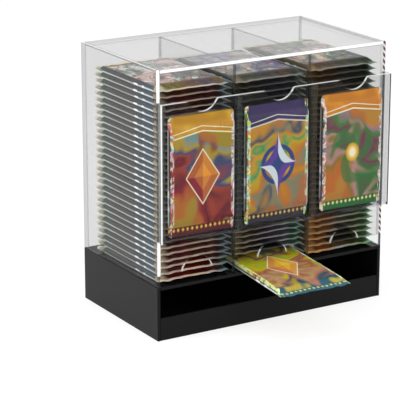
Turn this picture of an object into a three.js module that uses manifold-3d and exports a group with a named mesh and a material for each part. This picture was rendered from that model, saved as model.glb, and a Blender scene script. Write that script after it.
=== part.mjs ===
// Booster pack dispenser: a clear acrylic case with three columns of foil card packs,
// standing on a black acrylic base with an open tray, and a clear pocket of display packs on its front.
// Millimetres, +Z up. The front faces -Y. The origin is on the table, under the middle of the base.
import * as THREE from 'three';
import { mergeVertices } from 'three/addons/utils/BufferGeometryUtils.js';
import Module from 'manifold-3d';

const wasm = await Module();
wasm.setup();

// The case and its base
const columnNames = ['left', 'middle', 'right'];
const caseHeight = 241;
const baseHeight = 49;
const clearSheet = 3;
const blackSheet = 3;
const polishedEdge = 0.3;
const glueLine = 0.2;
const slideGap = 0.3;
const lidPlay = 0.4;
const packPlay = 3;
const depthPlay = 13;

// The tray in the base and the slot that the packs leave by
const lipHeight = 20.5;
const slotPlay = 4.7;
const fingerRadius = 15.5;
const archHeight = 13;
const archRim = 0.8;

// The display pocket on the front
const pocketDrop = 28;
const pocketHeight = 122.5;
const spacerWidth = 5;
const ledgeHeight = 2.5;
const notchDepth = 10;
const notchRim = 3;

// A foil pack, lying flat with its long side along Y. Its seals are wider than its filled body.
const packWidth = 72;
const packLength = 116;
const packThickness = 5.9;
const packWaist = 2.5;
const sealLength = 8;
const sealThickness = 0.5;
const endTaper = 8;
const sideThickness = 4.6;
const sideTaper = 5;

// The display packs are slimmer, and stand a little off the middle of their places
const displayWidth = 65.5;
const displayLength = 107;
const displayWaist = 0.8;
const displayShifts = [1.5, 0.3, 1.9];

// The stacks in the columns, which leave some headroom under the lid
const headRoom = 12;
const stackSettle = 0.1;
const stackFrontGap = 1.5;
const stackStagger = 0.5;
const staggerTurn = 2.4;
const levellingPacks = 10;

// How finely the finger cuts and their rims are drawn
const cutSteps = 12;
const rimSteps = 3;

// The pack that is half drawn out of the middle column
const drawnOut = 71;
const drawnTilt = THREE.MathUtils.degToRad(4.5);

// Sizes that follow from these
const columnPitch = packWidth + packPlay + clearSheet;
const caseDepth = packLength + depthPlay + 2 * clearSheet;
const caseWidth = columnNames.length * columnPitch + clearSheet;
const innerWidth = caseWidth - 2 * clearSheet;
const baseInnerWidth = caseWidth - 2 * blackSheet;
const frontY = -caseDepth / 2;
const backY = caseDepth / 2;
const frontPanelBackY = frontY + clearSheet;
const backPanelFrontY = backY - clearSheet;
const platformDepth = caseDepth - blackSheet - glueLine;
const lidUnderside = caseHeight - clearSheet;
const panelTop = lidUnderside - glueLine;
const standingHeight = panelTop - baseHeight - glueLine;
const pocketGap = packThickness + 2 * slideGap;
const pocketSheetBackY = frontY - pocketGap;
const pocketBottom = caseHeight - pocketDrop - pocketHeight;
const packPitch = packThickness - stackSettle;
const stackY = frontPanelBackY + stackFrontGap + packLength / 2;
const lowestPackZ = baseHeight + slideGap + packThickness / 2;
const stackZ = lowestPackZ + packThickness + slideGap;
const stackCount = 1 + Math.floor((lidUnderside - headRoom - packThickness / 2 - stackZ) / packPitch);
const columnCentres = columnNames.map((name, i) => (i - (columnNames.length - 1) / 2) * columnPitch);
const dividers = [['left', -columnPitch / 2], ['right', columnPitch / 2]];

const finish = (color, roughness, extra = {}) =>
  new THREE.MeshStandardMaterial({ color, roughness, metalness: 0, ...extra });
const clearAcrylic = () => finish(0xe4ecee, 0.04, { transparent: true, opacity: 0.25 });
const blackAcrylic = () => finish(0x141414, 0.12);
const packFoil = (color) => finish(color, 0.3, { metalness: 0.4 });
const stackFoils = [0x8a7a68, 0x6f7472, 0x84705e];
const displayFoils = [0xc9902e, 0x31507e, 0x5c8f4a];
const drawnFoil = 0xe0a03a;

const dispenser = new THREE.Group();
const base = new THREE.Group();
const upperCase = new THREE.Group();
const pocket = new THREE.Group();
const packs = new THREE.Group();
dispenser.add(base, upperCase, pocket, packs);

// Sheets. An outline is drawn flat and given the sheet's thickness, with its polished edges taken off.
function sheetGeometry(outline, thickness) {
  const geometry = new THREE.ExtrudeGeometry(new THREE.Shape(outline), {
    depth: thickness - 2 * polishedEdge,
    bevelThickness: polishedEdge,
    bevelSize: polishedEdge,
    bevelOffset: -polishedEdge,
    bevelSegments: 1,
  });
  return geometry.translate(0, 0, polishedEdge);
}

const corner = (x, y) => new THREE.Vector2(x, y);

function rectangle(width, height) {
  return [corner(-width / 2, 0), corner(width / 2, 0), corner(width / 2, height), corner(-width / 2, height)];
}

function arc(x, y, radius, from, to, steps) {
  const points = [];
  for (let i = 0; i <= steps; i += 1) {
    const angle = from + ((to - from) * i) / steps;
    points.push(corner(x + radius * Math.cos(angle), y + radius * Math.sin(angle)));
  }
  return points;
}

// A round finger cut in a straight edge, with its rims rounded over.
// Sense 1 cuts upwards while the outline runs to the right, and -1 downwards while it runs to the left.
function fingerCut(middle, edge, depth, rim, sense) {
  const below = fingerRadius - depth;
  const reach = Math.sqrt((fingerRadius + rim) ** 2 - (below + rim) ** 2);
  const lean = Math.atan2(below + rim, reach);
  const points = [
    ...arc(-reach, rim, rim, -Math.PI / 2, -lean, rimSteps),
    ...arc(0, -below, fingerRadius, Math.PI - lean, lean, cutSteps).slice(1),
    ...arc(reach, rim, rim, Math.PI + lean, 1.5 * Math.PI, rimSteps).slice(1),
  ];
  return points.map((point) => point.multiplyScalar(sense).add(corner(middle, edge)));
}

function archedPanel(width, height) {
  const [bottomLeft, ...otherCorners] = rectangle(width, height);
  const arches = columnCentres.flatMap((x) => fingerCut(x, 0, archHeight, archRim, 1));
  return [bottomLeft, ...arches, ...otherCorners];
}

function notchedPanel(width, height) {
  const [bottomLeft, bottomRight, topRight, topLeft] = rectangle(width, height);
  const rightToLeft = [...columnCentres].reverse();
  const notches = rightToLeft.flatMap((x) => fingerCut(x, height, notchDepth, notchRim, -1));
  return [bottomLeft, bottomRight, topRight, ...notches, topLeft];
}

// How a sheet stands: its outline's two directions, then the direction of its thickness.
const axisX = new THREE.Vector3(1, 0, 0);
const axisY = new THREE.Vector3(0, 1, 0);
const axisZ = new THREE.Vector3(0, 0, 1);
const lying = [axisX, axisY, axisZ];
const facing = [axisX, axisZ, axisY.clone().negate()];
const sideways = [axisY, axisZ, axisX];

function addSheet(group, name, outline, thickness, stance, place, material) {
  const mesh = new THREE.Mesh(sheetGeometry(outline, thickness), material);
  mesh.name = name;
  mesh.quaternion.setFromRotationMatrix(new THREE.Matrix4().makeBasis(...stance));
  mesh.position.set(...place);
  group.add(mesh);
}

// Base: two side walls, a back wall, a floor and the low lip of the tray, under the platform
const floorDepth = caseDepth - 2 * (blackSheet + glueLine);
const betweenWalls = baseInnerWidth - 2 * glueLine;
addSheet(base, 'base_left_wall', rectangle(caseDepth, baseHeight), blackSheet, sideways,
  [-caseWidth / 2, 0, 0], blackAcrylic());
addSheet(base, 'base_right_wall', rectangle(caseDepth, baseHeight), blackSheet, sideways,
  [caseWidth / 2 - blackSheet, 0, 0], blackAcrylic());
addSheet(base, 'base_back_wall', rectangle(betweenWalls, baseHeight), blackSheet, facing,
  [0, backY, 0], blackAcrylic());
addSheet(base, 'base_floor', rectangle(betweenWalls, floorDepth), blackSheet, lying,
  [0, -floorDepth / 2, 0], blackAcrylic());
addSheet(base, 'tray_lip', rectangle(betweenWalls, lipHeight), blackSheet, facing,
  [0, frontY + blackSheet, 0], blackAcrylic());
addSheet(base, 'platform', rectangle(betweenWalls, platformDepth), blackSheet, lying,
  [0, frontY, baseHeight - blackSheet], blackAcrylic());

// Case: two side panels and a back panel on the base, the front panel over the slots, and two dividers
const sideHeight = caseHeight - baseHeight - glueLine;
const betweenSides = innerWidth - 2 * glueLine;
const dividerDepth = backPanelFrontY - frontPanelBackY - 2 * glueLine;
const caseFloor = baseHeight + glueLine;
const slotTop = baseHeight + packThickness + slotPlay;
addSheet(upperCase, 'case_left_panel', rectangle(caseDepth, sideHeight), clearSheet, sideways,
  [-caseWidth / 2, 0, caseFloor], clearAcrylic());
addSheet(upperCase, 'case_right_panel', rectangle(caseDepth, sideHeight), clearSheet, sideways,
  [caseWidth / 2 - clearSheet, 0, caseFloor], clearAcrylic());
addSheet(upperCase, 'case_back_panel', rectangle(betweenSides, standingHeight), clearSheet, facing,
  [0, backY, caseFloor], clearAcrylic());
addSheet(upperCase, 'front_panel', archedPanel(betweenSides, panelTop - slotTop), clearSheet, facing,
  [0, frontPanelBackY, slotTop], clearAcrylic());
dividers.forEach(([side, x]) => {
  addSheet(upperCase, `divider_${side}`, rectangle(dividerDepth, standingHeight), clearSheet, sideways,
    [x - clearSheet / 2, 0, caseFloor], clearAcrylic());
});

// Lid: it lies between the side panels, on the tops of the other panels, and lifts off for filling
addSheet(upperCase, 'lid', rectangle(innerWidth - 2 * lidPlay, caseDepth), clearSheet, lying,
  [0, frontY, lidUnderside], clearAcrylic());

// Display pocket: one notched sheet in front of the case, on four upright spacers and three ledges
addSheet(pocket, 'pocket_sheet', notchedPanel(caseWidth, pocketHeight), clearSheet, facing,
  [0, pocketSheetBackY, pocketBottom], clearAcrylic());
const spacerDepth = pocketGap - 2 * glueLine;
const spacerBackY = frontY - glueLine;
const endSpacer = (caseWidth - spacerWidth) / 2;
const spacerCentres = [-endSpacer, ...dividers.map(([, x]) => x), endSpacer];
spacerCentres.forEach((x, i) => {
  addSheet(pocket, `pocket_spacer_${i + 1}`, rectangle(spacerWidth, pocketHeight), spacerDepth, facing,
    [x, spacerBackY, pocketBottom], clearAcrylic());
});
columnNames.forEach((column, i) => {
  const left = spacerCentres[i] + spacerWidth / 2 + glueLine;
  const right = spacerCentres[i + 1] - spacerWidth / 2 - glueLine;
  addSheet(pocket, `pocket_ledge_${column}`, rectangle(right - left, ledgeHeight), spacerDepth, facing,
    [(left + right) / 2, spacerBackY, pocketBottom], clearAcrylic());
});

// A pack: rows across it from one end to the other, each with a half width and its half thickness
// at the folded side and at the middle. The ends are flat seals and the body swells between them.
const packRow = (y, width, side, middle) => ({ y, x: width / 2, side: side / 2, middle: middle / 2 });

function packRows(width, length, waist) {
  const sealEnd = packRow(-length / 2, width, sealThickness, sealThickness);
  const frontRows = [
    sealEnd,
    { ...sealEnd, y: sealEnd.y + sealLength },
    packRow(sealEnd.y + sealLength + endTaper, width - 2 * waist, sideThickness, packThickness),
  ];
  return [...frontRows, ...frontRows.map((row) => ({ ...row, y: -row.y })).reverse()];
}

function packGeometry(rows) {
  const positions = [];
  const triangles = [];
  const addPoint = (x, y, z) => {
    positions.push(x, y, z);
    return positions.length / 3 - 1;
  };
  const [top, bottom] = [1, -1].map((face) => rows.map((row) => [
    addPoint(-row.x, row.y, face * row.side),
    addPoint(-row.x + sideTaper, row.y, face * row.middle),
    addPoint(row.x - sideTaper, row.y, face * row.middle),
    addPoint(row.x, row.y, face * row.side),
  ]));
  const quad = (a, b, c, d) => triangles.push(a, b, c, a, c, d);
  const lastRow = rows.length - 1;
  const lastColumn = top[0].length - 1;
  for (let i = 0; i < lastRow; i += 1) {
    for (let j = 0; j < lastColumn; j += 1) {
      quad(top[i][j], top[i][j + 1], top[i + 1][j + 1], top[i + 1][j]);
      quad(bottom[i][j], bottom[i + 1][j], bottom[i + 1][j + 1], bottom[i][j + 1]);
    }
    quad(top[i][0], top[i + 1][0], bottom[i + 1][0], bottom[i][0]);
    quad(top[i + 1][lastColumn], top[i][lastColumn], bottom[i][lastColumn], bottom[i + 1][lastColumn]);
  }
  for (let j = 0; j < lastColumn; j += 1) {
    quad(top[0][j + 1], top[0][j], bottom[0][j], bottom[0][j + 1]);
    quad(top[lastRow][j], top[lastRow][j + 1], bottom[lastRow][j + 1], bottom[lastRow][j]);
  }
  const geometry = new THREE.BufferGeometry();
  geometry.setAttribute('position', new THREE.Float32BufferAttribute(positions, 3));
  geometry.setIndex(triangles);
  return geometry;
}

const columnPack = packGeometry(packRows(packWidth, packLength, packWaist));
const displayPack = packGeometry(packRows(displayWidth, displayLength, displayWaist));

function addPack(group, name, geometry, color, place, turn = 0) {
  const mesh = new THREE.Mesh(geometry, packFoil(color));
  mesh.name = name;
  mesh.rotation.x = turn;
  mesh.position.set(...place);
  group.add(mesh);
}

// Joins solids into one geometry, where the packs of a stack press on each other
function joined(geometries) {
  const solids = geometries.map((geometry) => {
    const merged = mergeVertices(geometry);
    return new wasm.Manifold(new wasm.Mesh({
      numProp: 3,
      vertProperties: merged.attributes.position.array,
      triVerts: new Uint32Array(merged.index.array),
    }));
  });
  const mesh = solids.reduce((sum, solid) => sum.add(solid)).getMesh();
  const geometry = new THREE.BufferGeometry();
  geometry.setAttribute('position', new THREE.BufferAttribute(mesh.vertProperties, 3));
  geometry.setIndex(new THREE.BufferAttribute(mesh.triVerts, 1));
  return geometry;
}

// A stack: each pack a little out of line, and where the lowest one leans, the packs above it level out
function stackGeometry(lean) {
  const pieces = [];
  for (let k = 0; k < stackCount; k += 1) {
    const tilt = lean * Math.max(0, 1 - k / levellingPacks);
    const stagger = new THREE.Vector2(stackStagger, 0).rotateAround(new THREE.Vector2(), k * staggerTurn);
    const place = new THREE.Matrix4().makeRotationX(tilt).setPosition(stagger.x, stagger.y, k * packPitch);
    pieces.push(columnPack.clone().applyMatrix4(place));
  }
  return joined(pieces);
}

// The drawn pack leans on the platform's front edge, so its inner end rises by the tilt.
// The lowest pack of the middle stack rests on that end and, behind, on the platform.
const drawnInside = packLength - drawnOut;
const innerEndRise = drawnInside * Math.sin(drawnTilt) + (packThickness + sealThickness) / 2 + slideGap;
const innerEndY = frontY + drawnInside * Math.cos(drawnTilt);
const bodyHalf = packLength / 2 - sealLength - endTaper;
const heelY = stackY + bodyHalf;
const middleLean = -Math.atan2(innerEndRise, heelY - innerEndY);
const heelRise = slideGap - bodyHalf * Math.sin(middleLean) + (packThickness / 2) * Math.cos(middleLean);
const drawnColumn = 1;

columnNames.forEach((column, i) => {
  const x = columnCentres[i];
  const drawn = i === drawnColumn;
  if (!drawn) {
    addPack(packs, `lowest_pack_${column}`, columnPack, stackFoils[i], [x, stackY, lowestPackZ]);
  }
  const stack = new THREE.Mesh(stackGeometry(drawn ? middleLean : 0), packFoil(stackFoils[i]));
  stack.name = `pack_stack_${column}`;
  stack.position.set(x, stackY, drawn ? baseHeight + heelRise : stackZ);
  packs.add(stack);
});

// The drawn pack, in a frame that is turned about the platform's front edge
const edgeFrame = new THREE.Group();
edgeFrame.position.set(columnCentres[drawnColumn], frontY, baseHeight);
edgeFrame.rotation.x = drawnTilt;
addPack(edgeFrame, 'drawn_pack', columnPack, drawnFoil,
  [0, packLength / 2 - drawnOut, slideGap + packThickness / 2]);
packs.add(edgeFrame);

// The display packs stand on the pocket's ledges
const displayZ = pocketBottom + ledgeHeight + slideGap + displayLength / 2;
columnNames.forEach((column, i) => {
  addPack(packs, `display_pack_${column}`, displayPack, displayFoils[i],
    [columnCentres[i] + displayShifts[i], frontY - pocketGap / 2, displayZ], Math.PI / 2);
});

export default dispenser;
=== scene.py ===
"""Looks of the booster pack dispenser: clear and black acrylic, and foil card packs in three columns."""

import math

import bmesh
import bpy
from mathutils import Matrix, Vector, noise


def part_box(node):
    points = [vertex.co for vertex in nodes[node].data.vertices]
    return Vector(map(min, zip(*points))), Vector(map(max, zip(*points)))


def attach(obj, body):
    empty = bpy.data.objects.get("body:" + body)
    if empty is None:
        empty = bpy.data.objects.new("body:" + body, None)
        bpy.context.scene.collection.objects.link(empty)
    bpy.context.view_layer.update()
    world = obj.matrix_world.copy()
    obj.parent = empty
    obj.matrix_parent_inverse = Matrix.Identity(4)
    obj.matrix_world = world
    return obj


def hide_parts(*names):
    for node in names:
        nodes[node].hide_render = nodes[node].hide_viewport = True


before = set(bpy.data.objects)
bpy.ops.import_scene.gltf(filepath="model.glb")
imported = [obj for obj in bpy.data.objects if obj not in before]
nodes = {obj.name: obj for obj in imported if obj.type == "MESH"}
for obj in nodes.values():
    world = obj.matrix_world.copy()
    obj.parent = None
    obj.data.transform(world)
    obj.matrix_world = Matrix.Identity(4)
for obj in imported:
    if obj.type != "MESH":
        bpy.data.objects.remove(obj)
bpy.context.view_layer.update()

mm = 0.001
columns = ("left", "middle", "right")

# What the sheets' own boxes say
pocket_low, pocket_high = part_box("pocket_sheet")
slot_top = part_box("front_panel")[0].z
platform_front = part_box("platform")[0].y
platform_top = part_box("platform")[1].z
column_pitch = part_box("display_pack_middle")[0].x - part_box("display_pack_left")[0].x

# The finger arches in the front panel
arch_height = 13 * mm
arch_radius = 15.5 * mm

# A foil pack, with its long side along Y
seal_length = 7.5 * mm
seal_thickness = 0.3 * mm
middle_taper = 8 * mm
corner_taper = 4.5 * mm
corner_radius = 3 * mm
wall_height = 4.7 * mm
shoulder = 1.4 * mm
tooth = 0.9 * mm
dent_depth = 0.25 * mm
dents_per_metre = 60
seal_wave = 0.5 * mm
seal_bow = 0.7 * mm
ripple_length = 13 * mm
ripple_inset = 3.5 * mm

# The gathers beside a seal: half their depth as a share of the pack's thickness, how many radians their wave
# turns over half the pack's width, and by how many noise moves it
gather_share = 0.16
gather_phase = 21
gather_drift = 4

# How many squares a wrapper has across and along, for a pack that is a piece of its own and for one in a
# stack, and the power by which their rows crowd towards the seals
fine_grid = (96, 56)
stack_grid = (48, 28)
end_crowding = 1.8

# The stacks: how far apart the packs lie, and how far each one is out of line
pack_pitch = 5.8 * mm
stagger = 0.5 * mm
stagger_turn = 2.4
levelling_packs = 10

# The pack that is half drawn out, and the lowest pack of the stack, which leans on its seal
drawn_out = 71 * mm
drawn_tilt = math.radians(4.5)
slide_gap = 0.3 * mm
drawn_seal = 0.5 * mm
heel_inset = 16 * mm


def tint(code):
    """A colour from its six hexadecimal digits."""
    shares = [int(code[i : i + 2], 16) / 255 for i in (0, 2, 4)]
    return (*(s / 12.92 if s < 0.04045 else ((s + 0.055) / 1.055) ** 2.4 for s in shares), 1.0)


class Signal:
    """A socket of a finish that can be reckoned with like a number."""

    def __init__(self, finish, socket):
        self.finish = finish
        self.socket = socket

    def __add__(self, other):
        return self.finish.math("ADD", self, other)

    def __radd__(self, other):
        return self.finish.math("ADD", other, self)

    def __sub__(self, other):
        return self.finish.math("SUBTRACT", self, other)

    def __rsub__(self, other):
        return self.finish.math("SUBTRACT", other, self)

    def __mul__(self, other):
        return self.finish.math("MULTIPLY", self, other)

    def __rmul__(self, other):
        return self.finish.math("MULTIPLY", other, self)

    def __truediv__(self, other):
        return self.finish.math("DIVIDE", self, other)

    def __pow__(self, other):
        return self.finish.math("POWER", self, other)

    def __abs__(self):
        return self.finish.math("ABSOLUTE", self)

    def __gt__(self, other):
        return self.finish.math("GREATER_THAN", self, other)

    def __lt__(self, other):
        return self.finish.math("LESS_THAN", self, other)


class Finish:
    """A material, or the world around the dispenser, in the making."""

    def __init__(self, name, kind=bpy.data.materials):
        self.owner = kind.new(name)
        self.owner.use_nodes = True
        self.tree = self.owner.node_tree
        self.tree.nodes.clear()

    def node(self, kind, inputs, output=0, stops=(), **settings):
        """Adds a node, its settings first, and gives back one of its outputs."""
        made = self.tree.nodes.new(kind)
        for name, value in settings.items():
            setattr(made, name, value)
        for i, (place, colour) in enumerate(stops):
            if i >= len(made.color_ramp.elements):
                made.color_ramp.elements.new(place)
            made.color_ramp.elements[i].position = place
            made.color_ramp.elements[i].color = colour
        for name, value in inputs.items():
            if isinstance(value, Signal):
                self.tree.links.new(value.socket, made.inputs[name])
            else:
                made.inputs[name].default_value = value
        return Signal(self, made.outputs[output]) if len(made.outputs) else None

    def math(self, operation, *terms):
        return self.node("ShaderNodeMath", dict(enumerate(terms)), operation=operation)

    def either(self, first, second):
        """The larger of two numbers."""
        return self.math("MAXIMUM", first, second)

    def ease(self, value, start, end):
        """0 at start and 1 at end, with a soft change between them."""
        inputs = {"Value": value, "From Min": start, "From Max": end}
        return self.node("ShaderNodeMapRange", inputs, interpolation_type="SMOOTHSTEP")

    def ramp(self, value, *colours):
        """A run of evenly spaced colours."""
        stops = [(i / (len(colours) - 1), tint(code)) for i, code in enumerate(colours)]
        return self.node("ShaderNodeValToRGB", {"Fac": value}, stops=stops)

    def mix(self, share, first, second):
        return self.node("ShaderNodeMix", {0: share, 6: first, 7: second}, output=2, data_type="RGBA")

    def vector(self, x, y, z=0.0):
        return self.node("ShaderNodeCombineXYZ", {"X": x, "Y": y, "Z": z})

    def parts(self, vector):
        """The three numbers of a vector."""
        split = self.node("ShaderNodeSeparateXYZ", {"Vector": vector})
        return [Signal(self, output) for output in split.socket.node.outputs]

    def place(self, output="Object"):
        """Where a point of the piece is, or another output of Texture Coordinate."""
        return self.node("ShaderNodeTexCoord", {}, output=output)

    def noise(self, place, size, **inputs):
        """Soft noise with features of about this size."""
        return self.node("ShaderNodeTexNoise", {"Vector": place, "Scale": 1 / size, **inputs})

    def bump(self, height, distance):
        return self.node("ShaderNodeBump", {"Height": height, "Distance": distance})

    def blend(self, share, first, second):
        return self.node("ShaderNodeMixShader", {0: share, 1: first, 2: second})

    def seen_rays(self):
        """1 for what the camera sees, straight, mirrored or through clear sheet, and 0 for the light that
        falls on other things."""
        kinds = ("Is Camera Ray", "Is Glossy Ray", "Is Transmission Ray")
        straight, painted_reflection, through = (self.node("ShaderNodeLightPath", {}, output=kind) for kind in kinds)
        return self.math("MINIMUM", straight + painted_reflection + through, 1.0)

    def done(self, surface, output="ShaderNodeOutputMaterial"):
        self.node(output, {"Surface": surface})
        return self.owner


def as_object(bm, name, finish):
    """A finished mesh as an object of the scene."""
    mesh = bpy.data.meshes.new(name)
    bm.to_mesh(mesh)
    bm.free()
    mesh.materials.append(finish)
    made = bpy.data.objects.new(name, mesh)
    bpy.context.scene.collection.objects.link(made)
    return made


# Acrylic sheets

# How far a face's normal points along an axis where the face starts to count as turned that way, and where
# it counts fully
turned, square_on = 0.5, 0.9

# How near to a sheet's top or bottom a face is that edge, and how near to the pocket's right side is its end
edge_margin = 0.5 * mm
end_margin = 1 * mm

# How far the edges with their painted glow and the pocket's painted dark end hide what is behind them
covering = 0.95

# The painted reflection of the packs on the right panel's front edge, as dashes: their slant, their share of
# the pitch, their patches
dash_slant = 5 * mm
dash_share = 0.42
dash_patch = 9 * mm

# How deep the pocket's far end is painted dark, and where a notch's left arm ends, from the column's middle
dark_end_depth = 2 * mm
notch_arm_end = -6 * mm


def clear_face(f, smudge, mirror, cast):
    """The broad face of a clear sheet: it shows what is behind it and mirrors a little of the light."""
    grazing = f.node("ShaderNodeLayerWeight", {"Blend": 0.5}, output="Facing")
    see = f.node("ShaderNodeBsdfTransparent", {"Color": tint("f4f4f4")})
    gloss = f.node("ShaderNodeBsdfAnisotropic", {"Color": tint(cast), "Roughness": 0.01 + smudge * 0.02})
    return f.blend(mirror + 0.4 * grazing**5, see, gloss)


def cut_edge(f, place, smudge, glow, painted_reflection):
    """The edge of a clear sheet: painted white with emission where it has its painted glow, painted dark
    where it hasn't, and painted dashes where it stands for the packs' reflection.
    """
    x, _, height = f.parts(place)
    colour = f.mix(glow, tint("22262a"), tint("f4f8f8"))
    colour = f.mix(painted_reflection, colour, tint("0c0406"))
    # Painted reflection of the packs: dashes at the packs' pitch in their colours
    dash = (f.math("FRACT", height / pack_pitch + x / dash_slant) < dash_share) * painted_reflection
    reflected_pack_colours = f.ramp(f.noise(place, dash_patch), "b07878", "f0e4e4", "dcb8bc", "f0f0ec", "8c9c88")
    return f.node("ShaderNodeBsdfPrincipled", {
        "Base Color": f.mix(dash, colour, reflected_pack_colours),
        "Roughness": 0.12 + smudge * 0.1,
        "IOR": 1.25,
        "Emission Color": f.mix(glow, tint("000000"), tint("ffffff")),
        "Emission Strength": 0.25,
    })


def clear_acrylic(node, flat_axis, mirror, front_glow=0.0, top_glow=0.0, side_glow=0.0, joined=(),
                  front_dark=0.5, painted_pack_dashes=0.0, arched=0.0, notched=0.0, cast="ffffff", rim_share=0.3):
    """Clear sheet whose broad faces are across flat_axis: they show what is behind them and mirror a little
    of the light, with this cast. Its polished edges have a painted glow, white colour with emission, by the
    side they are on, though the front edge doesn't at the joined heights; where they don't glow they are
    painted dark. Where painted_pack_dashes is 1, the free part of the front edge has a painted reflection of
    the packs as dashes. rim_share and front_dark are how far its dull edges and its dark front edge hide
    what is behind them. The bottom edge, the arches of an arched sheet and the left arms of a notched one's
    notches aren't seen."""
    f = Finish(f"{node}_clear")
    sheet_bottom, sheet_top = (corner.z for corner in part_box(node))
    far_end = pocket_high.x - end_margin
    place = f.place()
    x, y, height = f.parts(place)
    facing = f.parts(f.place("Normal"))
    sideways, forwards, level = (f.ease(abs(part), turned, square_on) for part in facing)
    edge = abs(facing[flat_axis]) < square_on
    in_front = forwards * (y < 0)
    free = 1.0
    for bottom, top in joined:
        free = free * (1 - (height > bottom) * (height < top))
    # Painted glow: how bright each edge is painted, by the side of the case it is on
    glow = f.either(in_front * front_glow * free, level * top_glow)
    glow = f.either(glow, sideways * side_glow * (x < far_end))
    smudge = f.noise(place, 40 * mm, Detail=3.0)
    face = clear_face(f, smudge, mirror, cast)
    rim = cut_edge(f, place, smudge, glow, in_front * free * painted_pack_dashes)

    # How far the edges hide what is behind them
    lower = height < sheet_top - edge_margin
    from_column = f.math("WRAP", x, column_pitch / 2, -column_pitch / 2)
    unseen = level * f.either(height < sheet_bottom + edge_margin, lower * arched)
    unseen = f.either(unseen, lower * notched * (from_column < notch_arm_end) * (abs(x) < far_end))
    dull = in_front * (1 - glow) * front_dark
    share = f.either(rim_share + (covering - rim_share) * glow, dull) * (1 - unseen)
    # Painted shade: the pocket's far end is painted dark
    dark_end = f.either(y < pocket_low.y + dark_end_depth, height < pocket_low.z + dark_end_depth)
    share = f.either(share, (x > far_end) * (y < pocket_high.y) * dark_end * covering)
    return f.done(f.blend(edge * share, face, rim))


def black_acrylic(name):
    """Glossy black sheet with faint smudges and dust."""
    f = Finish(name)
    smudge = f.noise(f.place(), 60 * mm, Detail=4.0, Roughness=0.6)
    dust = f.ease(f.noise(f.place(), 1.5 * mm, Detail=2.0), 0.66, 0.8)
    return f.done(f.node("ShaderNodeBsdfPrincipled", {
        "Base Color": f.mix(dust * 0.2, tint("121213"), tint("3a3a3c")),
        "Roughness": 0.05 + smudge * 0.1,
        "IOR": 1.2,
    }))


panel_joints = ((0, slot_top), (pocket_low.z, pocket_high.z))
clear_sheets = {
    "case_left_panel": dict(flat_axis=0, mirror=0.006, front_glow=1, top_glow=0.6, joined=panel_joints),
    "case_right_panel": dict(flat_axis=0, mirror=0.006, top_glow=0.6, joined=panel_joints, front_dark=0.9,
                             painted_pack_dashes=1),
    "case_back_panel": dict(flat_axis=1, mirror=0.006, top_glow=0.4, side_glow=0.5),
    "front_panel": dict(flat_axis=1, mirror=0.003, top_glow=0.4, side_glow=0.9, arched=1),
    "divider_left": dict(flat_axis=0, mirror=0.008, front_dark=0.35, rim_share=0.5),
    "lid": dict(flat_axis=2, mirror=0.03, front_glow=0.88),
    "pocket_sheet": dict(flat_axis=1, mirror=0.006, top_glow=0.78, side_glow=0.85, notched=1),
    "pocket_spacer_1": dict(flat_axis=1, mirror=0.042, cast="e4f0e4"),
    "pocket_spacer_3": dict(flat_axis=1, mirror=0.048, cast="f6e0b4"),
    "pocket_spacer_4": dict(flat_axis=1, mirror=0.042, cast="e4f0e4", rim_share=0.12),
    "pocket_ledge_left": dict(flat_axis=1, mirror=0.006),
}
alike = {
    "divider_right": "divider_left",
    "pocket_spacer_2": "pocket_spacer_1",
    "pocket_ledge_middle": "pocket_ledge_left",
    "pocket_ledge_right": "pocket_ledge_left",
}
black_sheets = ("base_left_wall", "base_right_wall", "base_back_wall", "base_floor", "tray_lip", "platform")

finishes = {node: clear_acrylic(node, **looks) for node, looks in clear_sheets.items()}
finishes.update({node: finishes[model] for node, model in alike.items()})
finishes.update({node: black_acrylic(f"{node}_black") for node in black_sheets})
for node, finish in finishes.items():
    nodes[node].data.materials.clear()
    nodes[node].data.materials.append(finish)


# The glue that fills the two back corners of the tray

bead_inset = 0.1 * mm
back_low, back_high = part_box("base_back_wall")
wall_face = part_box("base_right_wall")[0].x
gap = wall_face - back_high.x
bead = Vector((gap, back_high.y - back_low.y - 2 * bead_inset, back_high.z - 2 * bead_inset))
bm = bmesh.new()
for side in (-1, 1):
    middle = Vector((side * (back_high.x + wall_face), back_low.y + back_high.y, back_high.z)) / 2
    bmesh.ops.create_cube(bm, size=1, matrix=Matrix.LocRotScale(middle, None, bead))
tray_glue = as_object(bm, "tray_glue", black_acrylic("tray_glue_black"))
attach(tray_glue, "case")


# The shape of a foil pack


class PackForm:
    """A filled pack: the node with its size, how far its sides are drawn in, how high its ends ripple."""

    def __init__(self, node, waist, front_ripple, back_ripple):
        low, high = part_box(node)
        self.thickness, self.width, self.length = sorted(high - low)
        self.waist = waist
        self.ripples = {-1: front_ripple, 1: back_ripple}


column_form = PackForm("lowest_pack_left", 2.5 * mm, 0.9 * mm, 1.3 * mm)
display_form = PackForm("display_pack_left", 0.8 * mm, 0.4 * mm, 0.4 * mm)


def soft_step(value, start, end):
    """0 up to start and 1 from end on, with a soft change between them."""
    share = min(max((value - start) / (end - start), 0), 1)
    return share * share * (3 - 2 * share)


def half_height(form, across, end, from_side, body, place, seed):
    """Half the pack's height at a point: the crowned body with its gathers and dents, thin at the seals."""
    crown = math.sqrt(1 - (1 - min(from_side / shoulder, 1)) ** 2)
    full = (wall_height + (form.thickness - wall_height) * crown) / 2
    half = seal_thickness / 2 + (full - seal_thickness / 2) * body
    folding = 4 * body * (1 - body)
    crease = gather_drift * noise.noise(Vector((across * 5, 3 * end, seed)))
    gathers = 1 + math.cos(across * gather_phase + crease)
    dent = noise.noise(place * dents_per_metre + Vector((0, 0, seed)))
    gathered = gather_share * folding * gathers * abs(across) ** 0.5
    return half * (1 - gathered) - dent_depth * body * max(dent, 0)


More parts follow.
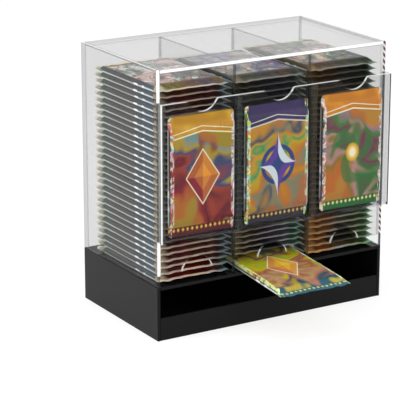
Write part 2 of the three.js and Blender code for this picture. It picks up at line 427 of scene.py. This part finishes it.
def seal_rise(form, across, end, from_side, seed):
    """How far the seal's ripples, waves and bow lift it off the pack's middle plane."""
    ripple = math.cos(math.tau * (from_side - ripple_inset) / ripple_length)
    ripple *= math.exp(-from_side / ripple_length)
    wave = noise.noise(Vector((across * 1.6, 7 * end, seed + 5)))
    return form.ripples[end] * ripple + seal_wave * wave + seal_bow * (0.5 - across * across)


def pack_point(form, across, along, squares, seed):
    """Where a point of the flat wrapper, given by shares of -1 to 1, goes on a filled pack's upper shell.
    The rows crowd towards the seals, and every other point of the cut edge is the root of a tooth."""
    end = math.copysign(1, along)
    x = across * form.width / 2
    y = end * (1 - (1 - abs(along)) ** end_crowding) * form.length / 2
    from_end = form.length / 2 - abs(y)
    from_side = form.width / 2 - abs(x)
    taper = middle_taper + (corner_taper - middle_taper) * abs(across) ** 4
    body = soft_step(from_end, seal_length, seal_length + taper)
    half = half_height(form, across, end, from_side, body, Vector((x, y, 0)), seed)
    rise = (1 - body) * seal_rise(form, across, end, from_side, seed)
    x *= 1 - body * form.waist * 2 / form.width
    if abs(along) > 0.999 and round((across + 1) * squares / 2) % 2:
        y -= end * tooth
    into_corner = corner_radius - from_side
    if into_corner > 0:
        rounding = corner_radius - math.sqrt(corner_radius**2 - into_corner**2)
        y -= end * rounding * max(1 - from_end / corner_radius / 2, 0)
    return x, y, rise, half


def add_pack(bm, form, place, grid, seed):
    """A filled pack: a flat grid shaped into the upper shell, its mirror image and the wall between them."""
    wrapper = bm.verts.layers.float_vector["wrapper"]
    upper = bmesh.ops.create_grid(bm, x_segments=grid[0], y_segments=grid[1], size=1)["verts"]
    faces = list({face for vert in upper for face in vert.link_faces})
    twin = bmesh.ops.duplicate(bm, geom=upper + faces)["geom"]
    lower = [item for item in twin if isinstance(item, bmesh.types.BMVert)]
    bmesh.ops.reverse_faces(bm, faces=[item for item in twin if isinstance(item, bmesh.types.BMFace)])
    open_edges = []
    for shell, side in ((upper, 1), (lower, -1)):
        for vert in shell:
            across = vert.co.x
            x, y, rise, half = pack_point(form, across, vert.co.y, grid[0], seed)
            vert.co = (x, y, rise + side * half)
            vert[wrapper] = (across * form.width / 2 / mm, y / mm, side)
        edges = {edge for vert in shell for edge in vert.link_edges}
        open_edges += [edge for edge in edges if edge.is_boundary]
    bmesh.ops.bridge_loops(bm, edges=open_edges)
    bmesh.ops.transform(bm, matrix=place, verts=upper + lower)


def pack_piece(name, form, places, grid, seed, finish, body, replaced=()):
    """One piece of one or more packs, each put at its place."""
    bm = bmesh.new()
    bm.verts.layers.float_vector.new("wrapper")
    for i, place in enumerate(places):
        add_pack(bm, form, place, grid, seed + i)
    for face in bm.faces:
        face.smooth = True
    piece = as_object(bm, name, finish)
    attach(piece, body)
    if replaced:
        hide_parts(*replaced)


# The foil and its prints

# The attribute "wrapper" says where a point is on the wrapper: u mm across and v mm along from its middle,
# and side, which goes from 1 on the upper shell to -1 on the lower one.

silver = ("f6f8f4", "a8d8dc", "f2f5d8", "d8c0b8", "f6f8f4")
wall_runs = {
    "left": ("6b5446", "3f525e", "3c4a54", "474848", "4a4a4a", "484949", "44504a", "3e4c44"),
    "middle": ("6c7464", "64706a", "5c6862", "58605c", "545a56", "505652", "4c5650", "465048"),
    "right": ("7a6838", "74643c", "6a5e38", "60583c", "585440", "525044", "4c5044", "46503c"),
}
# Colours of the painted highlight along the walls, from the front end to the back
highlight_run = ("c8b8a4", "e8f6fa", "e0ecf0", "c6c6c4", "c0c0bc", "c4c6c0", "d4ded0", "e4ecda")

# In mm: the rainbow's patches, the fringe's flecks, how far from the end the filled body starts and is full,
# the walls' two painted glints, the pitch of the crimp, and the crumpled and the dull patches
rainbow_patch = 16.0
fleck = 2.6
body_start, body_full = 9.0, 13.0
front_glint, back_glint = -27.4, -14.6
crimp_pitch = 1.15
crumple_patch = 7.0
dull_patch = 12.0


def foil_print(name, form, art, seed, sheen, walls, wrap=0.97, fringe=0.0, highlight_top=-0.48, edge_shade=2.4):
    """A printed foil wrapper with bare, dark side walls and a painted highlight, with emission, along the
    lower edge of each wall and on the upper face's far rim. art(f, u, v, place) gives the colour of the
    broad faces.
    The print reaches down the wall as far as wrap, from 1 at its top to -1 at its bottom, and a fringe of
    foil in the colours of sheen stays bare along its long sides. Without a fringe, the rounded edge is as
    dark as the wall over a width of edge_shade."""
    f = Finish(name)
    u, v, side = f.parts(f.node("ShaderNodeAttribute", {}, output="Vector", attribute_name="wrapper"))
    place = f.vector(u, v, seed)
    from_side = form.width / 2 / mm - abs(u)
    from_end = form.length / 2 / mm - abs(v)
    along = v / (form.length / mm) + 0.5
    filled = f.ease(from_end, body_start, body_full)

    # The print and its bare fringe
    rainbow = f.ramp(f.math("FRACT", f.noise(place, rainbow_patch, Detail=1.5) * 4.3 + v * 0.02), *sheen)
    flecks = f.ease(f.noise(f.vector(u * 1.2, v * 0.35, seed), fleck, Detail=1.0), 0.43, 0.5)
    margin = f.ease(from_side, fringe, fringe - 0.8)
    colour = f.mix(margin * flecks, art(f, u, v, place), rainbow)

    # The side walls, with the painted fold highlight and its two painted glints
    on_wall = (side < wrap) * (side > -0.97)
    rounded = (from_side < edge_shade) * (side > wrap) * filled * (fringe == 0)
    bare = f.either(on_wall * filled, rounded)
    colour = f.mix(bare, colour, f.ramp(along, *walls))
    glint = f.either(f.ease(abs(v - back_glint), 4.6, 2.4), f.ease(abs(v - front_glint), 2.8, 1.2) * 0.8)
    highlight_edge = highlight_top + glint * 0.3 + 0.14 * f.ease(v, -16.0, -30.0)
    far_rim_highlight = (u > 0) * (side > 0.97) * (from_side < 1.0)
    fold_highlight = f.either(bare * f.ease(side - highlight_edge, 0.06, -0.06), far_rim_highlight) * filled
    colour = f.mix(fold_highlight, colour, f.mix(glint, f.ramp(along, *highlight_run), tint("ffffff")))

    crimp = f.math("SINE", u * (math.tau / crimp_pitch)) * (1 - filled)
    crumple = f.noise(place, crumple_patch, Detail=4.0, Distortion=0.6)
    return f.done(f.node("ShaderNodeBsdfPrincipled", {
        "Base Color": colour,
        "Metallic": 0.06 + 0.2 * fold_highlight,
        "Roughness": 0.26 + 0.16 * f.noise(place, dull_patch),
        "IOR": 1.35,
        "Normal": f.bump(crumple * 0.5 + crimp * 0.09, 0.5 * mm),
        # The painted highlight and glints glow with emission
        "Emission Color": f.mix(fold_highlight * (0.3 + 0.7 * glint), tint("000000"), tint("f0f4f4")),
        "Emission Strength": 0.4,
    }))


# The packs in the columns: where the ends of the upper ones start to darken and are darkest, and for those
# behind a finger arch, where they start, above the pack that leaves next, how far aside they are seen, and
# how far outside the arch their painted shade starts and how softly
shade_start, shade_full = 180 * mm, 205 * mm
arch_packs_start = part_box("lowest_pack_right")[1].z + 0.2 * mm
arch_offset = 1.5 * mm
arch_margin = 0.1 * mm
arch_fade = 1.6 * mm


def arch_shade_mask(f, u, v, height):
    """1 on the front ends of the packs that show through a finger arch, where painted shade goes, and 0
    elsewhere.
    """
    sideways = u * mm - arch_offset
    upwards = height - (slot_top + arch_height - arch_radius)
    from_arch = f.math("SQRT", sideways * sideways + upwards * upwards)
    outside = arch_radius + arch_margin
    within = f.ease(from_arch, outside, outside - arch_fade)
    return within * (height > arch_packs_start) * (v < 0)


def stack_art(soft, bright, slope, seal, gathers, upper_shade, seed_shift=0.0, arch_shade=0.0):
    """Art for the packs in the columns: soft colours with bright, outlined spots on the body, a slope beside
    each seal whose print is darkened by painted shade, pale cut ends, and the gathers' colours where the
    foil is bunched at the left corners. The front ends of the upper packs are darker by upper_shade, and
    those behind the finger arch have painted shade by arch_shade."""

    def art(f, u, v, place):
        warp = f.noise(place, 24.0, Detail=2.0, Distortion=0.5)
        speck = f.noise(place, 4.0, Detail=2.0) - 0.5
        spots = f.noise(f.vector(v, u, seed_shift), 11.0, Detail=1.0)
        across = u / (column_form.width / mm) + 0.5
        from_end = column_form.length / 2 / mm - abs(v)
        from_left = column_form.width / 2 / mm + u
        height = f.parts(f.place())[2]

        colour = f.ramp(warp * 1.3 - 0.15, *soft)
        shining = f.ramp(warp * 2 - 0.5 + speck * 0.9, *bright)
        colour = f.mix(f.ease(spots, 0.49, 0.54) * 0.9, colour, shining)
        colour = f.mix(f.ease(abs(spots - 0.5), 0.045, 0.01) * 0.8, colour, tint("2e2024"))

        # Painted shade: the slope's print is dark and flecked darker still, as shaded between the packs
        dark = f.ramp(across + (warp - 0.5) * 0.3, *slope)
        dark = f.mix(f.ease(speck, 0.0, 0.2) * 0.6, dark, tint("1a1210"))
        colour = f.mix(f.ease(from_end, 20.0, 17.0), colour, dark)

        bunched = f.ramp(v * 0.04 + 0.5 + speck * 0.4, *gathers)
        reach = 12 * f.ease(from_end, 19.0, 9.0) - 1
        colour = f.mix(f.ease(from_left - reach, 3.0, -3.0), colour, bunched)
        colour = f.mix(f.ease(from_end + speck * 2, 4.6, 3.8), colour, f.ramp(across, *seal))

        upper = f.ease(height, shade_start, shade_full) * f.ease(from_end, 22.0, 16.0) * (v < 0)
        colour = f.mix(upper * upper_shade, colour, tint("14100c"))
        # Painted shade behind the finger arch
        if arch_shade:
            colour = f.mix(arch_shade_mask(f, u, v, height) * arch_shade, colour, tint("0c0a08"))
        return colour

    return art


# A poster's measures in mm: how long its run of colours is, how deep the header is in its middle, how far
# above its edge the second line is, how high the foot strip is, and how high its diamonds sit, their pitch
# and half their size
colour_run = 78
header_depth, second_line = 15, 4
foot_height, diamond_height = 8.5, 6
diamond_pitch = 4.6
diamond_half = (1.5, 1.9)


def poster(form, palette, slant, header, foot, motif):
    """Art for a wrapper: swirled colours with one motif, between a header that ends in a chevron and a foot
    strip of small diamonds."""

    half = form.length / 2 / mm

    def art(f, u, v, place):
        warp = f.noise(place, 30.0, Detail=1.5, Distortion=0.7)
        run = (u * math.sin(slant) + v * math.cos(slant)) / colour_run + 0.5 + (warp - 0.5) * 1.3
        colour = f.ramp(run, *palette)
        patch = f.noise(f.vector(v * 0.8, u, 61.0), 22.0, Detail=1.0)
        colour = f.mix(f.ease(patch, 0.56, 0.64) * 0.8, colour, f.ramp(1 - run, *palette))
        colour = motif(f, u, v + 2, colour)

        peak = v - half + header_depth + abs(u) * 0.16
        banner = f.mix(f.ease(warp, 0.4, 0.6), tint(header[0]), tint(header[1]))
        colour = f.mix(f.ease(peak, -0.3, 0.3), colour, banner)
        colour = f.mix(f.ease(abs(peak), 0.8, 0.4), colour, tint(header[2]))
        colour = f.mix(f.ease(abs(peak - second_line), 0.5, 0.2), colour, tint(header[2]))

        from_foot = v + half
        colour = f.mix(f.ease(from_foot, foot_height + 0.3, foot_height - 0.3), colour, tint(foot[0]))
        cell = f.math("FRACT", u / diamond_pitch + 0.5) - 0.5
        sideways, upwards = abs(cell) * diamond_pitch, abs(from_foot - diamond_height)
        diamond = sideways / diamond_half[0] + upwards / diamond_half[1]
        return f.mix(f.ease(diamond, 1.1, 0.8), colour, tint(foot[1]))

    return art


def gem(light, dark):
    """A cut stone: a rhombus of facets with a pale outline."""
    half_width, half_length = 16, 23

    def motif(f, u, v, colour):
        reach = abs(u) / half_width + abs(v) / half_length
        facet = (u > 0) * 0.35 + (v > 0) * 0.3 + (reach < 0.55) * 0.3
        colour = f.mix(f.ease(reach, 1.04, 1.0), colour, f.mix(facet, tint(dark), tint(light)))
        return f.mix(f.ease(abs(reach - 1.06), 0.05, 0.03), colour, tint("f2e6c8"))

    return motif


def star(light, dark):
    """A star of four long points over a ring."""
    ring_radius = 16
    half_width, half_length = 21, 30

    def motif(f, u, v, colour):
        ring = abs(f.math("SQRT", u * u + v * v) - ring_radius)
        colour = f.mix(f.ease(ring, 2.2, 1.8), colour, tint(dark))
        reach = (abs(u) / half_width) ** 0.62 + (abs(v) / half_length) ** 0.62
        colour = f.mix(f.ease(reach, 1.02, 0.98), colour, f.mix((u * v) > 0, tint(light), tint("d8e4ea")))
        return f.mix(f.ease(reach, 0.6, 0.56), colour, tint(dark))

    return motif


def swirl(light, dark):
    """Curved vanes round a bright hub."""
    vanes = 3
    vane_reach, hub_radius = 25.0, 8.0

    def motif(f, u, v, colour):
        reach = f.math("SQRT", u * u + v * v * 0.7)
        turn = f.math("SINE", f.math("ARCTAN2", u, v) * vanes + reach * 0.22)
        vane = f.ease(turn, 0.1, 0.25) * f.ease(reach, vane_reach, vane_reach - 2)
        colour = f.mix(vane * 0.75, colour, tint(dark))
        hub = f.mix(f.ease(reach, hub_radius - 6, hub_radius - 2), tint("fff4c8"), tint(light))
        return f.mix(f.ease(reach, hub_radius, hub_radius - 2), colour, hub)

    return motif


stack_prints = {
    "left": stack_art(
        soft=("8d6f66", "c9a79c", "8a8088", "d3bdb0"), bright=("b8463c", "e0c8b8", "5f9a90", "c9b88a"),
        slope=("706535", "591114", "771d1d", "531114", "6b2314", "204c50"),
        seal=("fff2dc", "ffe4d8", "fff0d0", "f4e4d8", "4f98a0"), gathers=("c4b8a0", "b0b8a4"),
        upper_shade=0.2,
    ),
    "middle": stack_art(
        soft=("7a7268", "b09a8c", "6c6a78", "c0b0a0"), bright=("c8843c", "d0c8b8", "5a6aa0", "8a5a4a"),
        slope=("4f411c", "3e301e", "3b343b", "5b5563", "2d6a4c"),
        seal=("d8c498", "c0b4a8", "d4d0dc", "d8e0d8", "68c090"), gathers=("8c8460", "8c9c8c"),
        upper_shade=0.72, arch_shade=0.85,
    ),
    "right": stack_art(
        soft=("8a7f7a", "c5a8a2", "7d6a76", "d4b7ae"), bright=("b08f4a", "e0c8a0", "487a4a", "7a4a8a"),
        slope=("764712", "84521d", "745a2b", "414123", "265831"),
        seal=("fcc878", "e8b888", "ccd4dc", "b8c898", "68c880"), gathers=("b88c4c", "8a8c70"),
        upper_shade=0.72, arch_shade=0.85,
    ),
}
# The top packs' prints: their slopes are painted lighter than the stacks' shaded ones, as lit from above
top_prints = {
    "left": stack_art(
        soft=("a07c7c", "dcbcb4", "7c6c70", "e4ccc4"), bright=("c8342c", "fcece4", "4c8880", "b07c4c"),
        slope=("665d21", "7b6b24", "70492b", "534957", "7b5d1a"),
        seal=("fff4dc", "f4e8b0", "fce0c0", "ece0d8", "8fb4b8"), gathers=("d0c4a8", "b0b8a4"),
        upper_shade=0.1, seed_shift=4.0,
    ),
    "middle": stack_art(
        soft=("84827c", "c0b4a8", "74767c", "ccc2b8"), bright=("d07820", "e8e0cc", "2c4ca0", "a83c28"),
        slope=("534313", "434b2a", "2a3a3e", "644011", "214335"),
        seal=("ece0b0", "d8d0c0", "d0d0d4", "dce0cc", "8cc0b0"), gathers=("a8a080", "98a08c"),
        upper_shade=0.6, seed_shift=8.0,
    ),
    "right": stack_art(
        soft=("94867c", "ccb4ac", "80767c", "d4c2b8"), bright=("c88420", "f0e0c8", "1c7c38", "6c3494"),
        slope=("603a0d", "684811", "4f462a", "32431b", "194324"),
        seal=("f4cc88", "e4c498", "d0dce0", "c4d4a4", "88d098"), gathers=("c89858", "98a08c"),
        upper_shade=0.6, seed_shift=12.0,
    ),
}
display_prints = {
    "left": poster(
        display_form, slant=0.5,
        palette=("b26726", "921d2a", "601223", "9f3b26", "2e446e", "b29418", "6d9496", "9f8923"),
        header=("d8ac20", "c08a14", "f6ecc0"), foot=("5a1420", "e8c040"), motif=gem("f0a030", "8a1830"),
    ),
    "middle": poster(
        display_form, slant=-0.6,
        palette=("ad6b3d", "778369", "c27413", "c2a81e", "319358", "c9991c", "25465f", "c2891e"),
        header=("1c2240", "3a2a5c", "d8d8c8"), foot=("2a2630", "e0b860"), motif=star("5a3c98", "24407c"),
    ),
    "right": poster(
        display_form, slant=0.7,
        palette=("be6822", "827022", "be8983", "247030", "742f4e", "3f7d37", "a97591", "b7822c"),
        header=("e8981c", "c87c18", "f0f0d0"), foot=("1c6a30", "f0e090"), motif=swirl("e0b020", "2c7034"),
    ),
}
drawn_print = poster(
    column_form, slant=-0.35,
    palette=("235362", "a86f5e", "b69565", "9b5548", "cab317", "9bb331", "ceaf14", "2f355e", "bda424"),
    header=("2c2c60", "4a3a70", "e0d8c0"), foot=("3c6a7c", "e8e060"), motif=gem("f4c828", "c87a50"),
)
lime = ("f4f8d8", "c8ec60", "f6f8f0", "e8f050", "a0d8b0", "f0f4c0", "d8e85c", "f4f8d8")
display_sheens = {
    "left": ("fcfaf6", "e83850", "f6c8d8", "8cdce4", "fcfaf0", "e4d850", "d84060", "48b0bc", "fcfaf6"),
    "middle": ("f8faf0", "6cc8d8", "e8ec50", "58c060", "f8faf0", "f0e040", "f07040", "a8e8d8", "f8faf0"),
    "right": ("fcf8fc", "d070b0", "f8e858", "c8c8f0", "fcf8fc", "e89038", "7c5ab8", "58b868", "fcf8fc"),
}


# The packs in their places


def middle_of(corners):
    """The middle of a box, from its two corners."""
    low, high = corners
    return (low + high) / 2


def lying(x, y, z, tilt=0.0):
    """The place of a pack with its long side along Y, tilted about X."""
    return Matrix.Translation((x, y, z)) @ Matrix.Rotation(tilt, 4, "X")


stack_low, stack_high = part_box("pack_stack_left")
stack_y = middle_of((stack_low, stack_high)).y
stack_count = round((stack_high.z - stack_low.z) / pack_pitch)
thickness = column_form.thickness


def leaning_pack():
    """The lean and the height of the middle stack's lowest pack, which rests on the inner end of the drawn
    pack and, behind, on the platform."""
    inside = column_form.length - drawn_out
    rise = inside * math.sin(drawn_tilt) + (thickness + drawn_seal) / 2 + slide_gap
    heel = column_form.length / 2 - heel_inset
    lean = -math.atan2(rise, heel + stack_y - platform_front - inside * math.cos(drawn_tilt))
    return lean, platform_top + slide_gap - heel * math.sin(lean) + thickness / 2 * math.cos(lean)


def stack_places(column):
    """The places of a column's packs, each a little out of line. Leaning ones level out as they go up."""
    x = middle_of(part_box(f"pack_stack_{column}")).x
    lean, first_z = leaning_pack() if column == "middle" else (0.0, stack_low.z + thickness / 2)
    places = []
    for k in range(stack_count):
        tilt = lean * max(0, 1 - k / levelling_packs)
        shift_x = stagger * math.cos(k * stagger_turn)
        shift_y = stagger * math.sin(k * stagger_turn)
        places.append(lying(x + shift_x, stack_y + shift_y, first_z + k * pack_pitch, tilt))
    return places


for i, column in enumerate(columns):
    stack_foil = foil_print(f"stack_foil_{column}", column_form, stack_prints[column], seed=3.0 + i,
                            sheen=silver, walls=wall_runs[column])
    top_foil = foil_print(f"top_foil_{column}", column_form, top_prints[column], seed=7.0 + i,
                          sheen=silver, walls=wall_runs[column], edge_shade=1.3)
    places = stack_places(column)
    pack_piece(f"packs_{column}", column_form, places[:-1], stack_grid, 10.0 + 40 * i, stack_foil,
               f"stack_{column}", (f"pack_stack_{column}",))
    pack_piece(f"top_pack_{column}", column_form, places[-1:], fine_grid, 200.0 + i, top_foil,
               f"stack_{column}")
    if column != "middle":
        next_place = Matrix.Translation(middle_of(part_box(f"lowest_pack_{column}")))
        pack_piece(f"next_pack_{column}", column_form, [next_place], fine_grid, 210.0 + i, stack_foil,
                   f"next_pack_{column}", (f"lowest_pack_{column}",))

on_edge = lying(middle_of(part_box("drawn_pack")).x, platform_front, platform_top, drawn_tilt)
drawn_place = on_edge @ lying(0, column_form.length / 2 - drawn_out, slide_gap + thickness / 2)
drawn_foil = foil_print("drawn_foil", column_form, drawn_print, seed=21.0, sheen=lime,
                        walls=wall_runs["left"], wrap=0.1, fringe=2.8)
pack_piece("half_drawn_pack", column_form, [drawn_place], fine_grid, 220.0, drawn_foil, "next_pack_middle",
           ("drawn_pack",))

for i, column in enumerate(columns):
    upright = lying(*middle_of(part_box(f"display_pack_{column}")), math.pi / 2)
    display_foil = foil_print(f"display_foil_{column}", display_form, display_prints[column], seed=31.0 + i,
                              sheen=display_sheens[column], walls=wall_runs["left"], fringe=3.8,
                              highlight_top=-0.2)
    pack_piece(f"shown_pack_{column}", display_form, [upright], fine_grid, 230.0 + i, display_foil,
               f"shown_pack_{column}", (f"display_pack_{column}",))


# The floor

floor_reach = 4
f = Finish("studio_floor")
shown = f.seen_rays()
grain = f.noise(f.place(), 30 * mm, Detail=2.0)
paint = f.mix(grain * 0.04, tint("e6e6e6"), tint("dcdcdc"))
floor_finish = f.done(f.node("ShaderNodeBsdfPrincipled", {
    "Base Color": f.mix(shown, paint, tint("969696")),
    "Roughness": 0.9,
    "Specular IOR Level": 0.0,
    "Emission Color": f.mix(shown, tint("000000"), tint("ffffff")),
    "Emission Strength": 0.74,
}))
bm = bmesh.new()
bmesh.ops.create_grid(bm, x_segments=1, y_segments=1, size=floor_reach)
floor = as_object(bm, "floor", floor_finish)


# The light

f = Finish("studio", bpy.data.worlds)
strength = f.node("ShaderNodeMapRange", {"Value": f.seen_rays(), "To Min": 0.8, "To Max": 1.0})
background = f.node("ShaderNodeBackground", {"Color": tint("ffffff"), "Strength": strength})
bpy.context.scene.world = f.done(background, "ShaderNodeOutputWorld")


def softbox(name, place, aim, size, power):
    """A rectangular lamp at a place, turned towards its aim."""
    lamp = bpy.data.lights.new(name, "AREA")
    lamp.shape = "RECTANGLE"
    lamp.size, lamp.size_y = size
    lamp.energy = power
    holder = bpy.data.objects.new(name, lamp)
    bpy.context.scene.collection.objects.link(holder)
    holder.location = place
    holder.rotation_euler = (Vector(aim) - Vector(place)).to_track_quat("-Z", "Y").to_euler()


softbox("top_softbox", place=(-0.2, 0.1, 1.4), aim=(0, 0, 0.1), size=(1.2, 1.0), power=5)
softbox("left_softbox", place=(-1.3, 0.1, 0.9), aim=(0, 0, 0.12), size=(0.8, 0.8), power=7)
softbox("front_softbox", place=(0.3, -1.5, 0.8), aim=(0, 0, 0.12), size=(0.8, 0.8), power=11)


# The camera, fitted to the corners of the case

azimuth, elevation = math.radians(-31.05), math.radians(16.5)
camera_target = Vector((-35.07, 0, 98.68)) * mm
camera_distance = 1790.4 * mm
towards_camera = Vector((
    math.sin(azimuth) * math.cos(elevation), -math.cos(azimuth) * math.cos(elevation), math.sin(elevation)
))
camera_data = bpy.data.cameras.new("camera")
camera_data.sensor_fit = "HORIZONTAL"
camera_data.sensor_width = 36
camera_data.lens = 178.2
camera_data.clip_end = 20
camera = bpy.data.objects.new("camera", camera_data)
bpy.context.scene.collection.objects.link(camera)
camera.location = camera_target + towards_camera * camera_distance
camera.rotation_euler = towards_camera.to_track_quat("Z", "Y").to_euler()
bpy.context.scene.camera = camera
bpy.context.scene.view_settings.view_transform = "Standard"
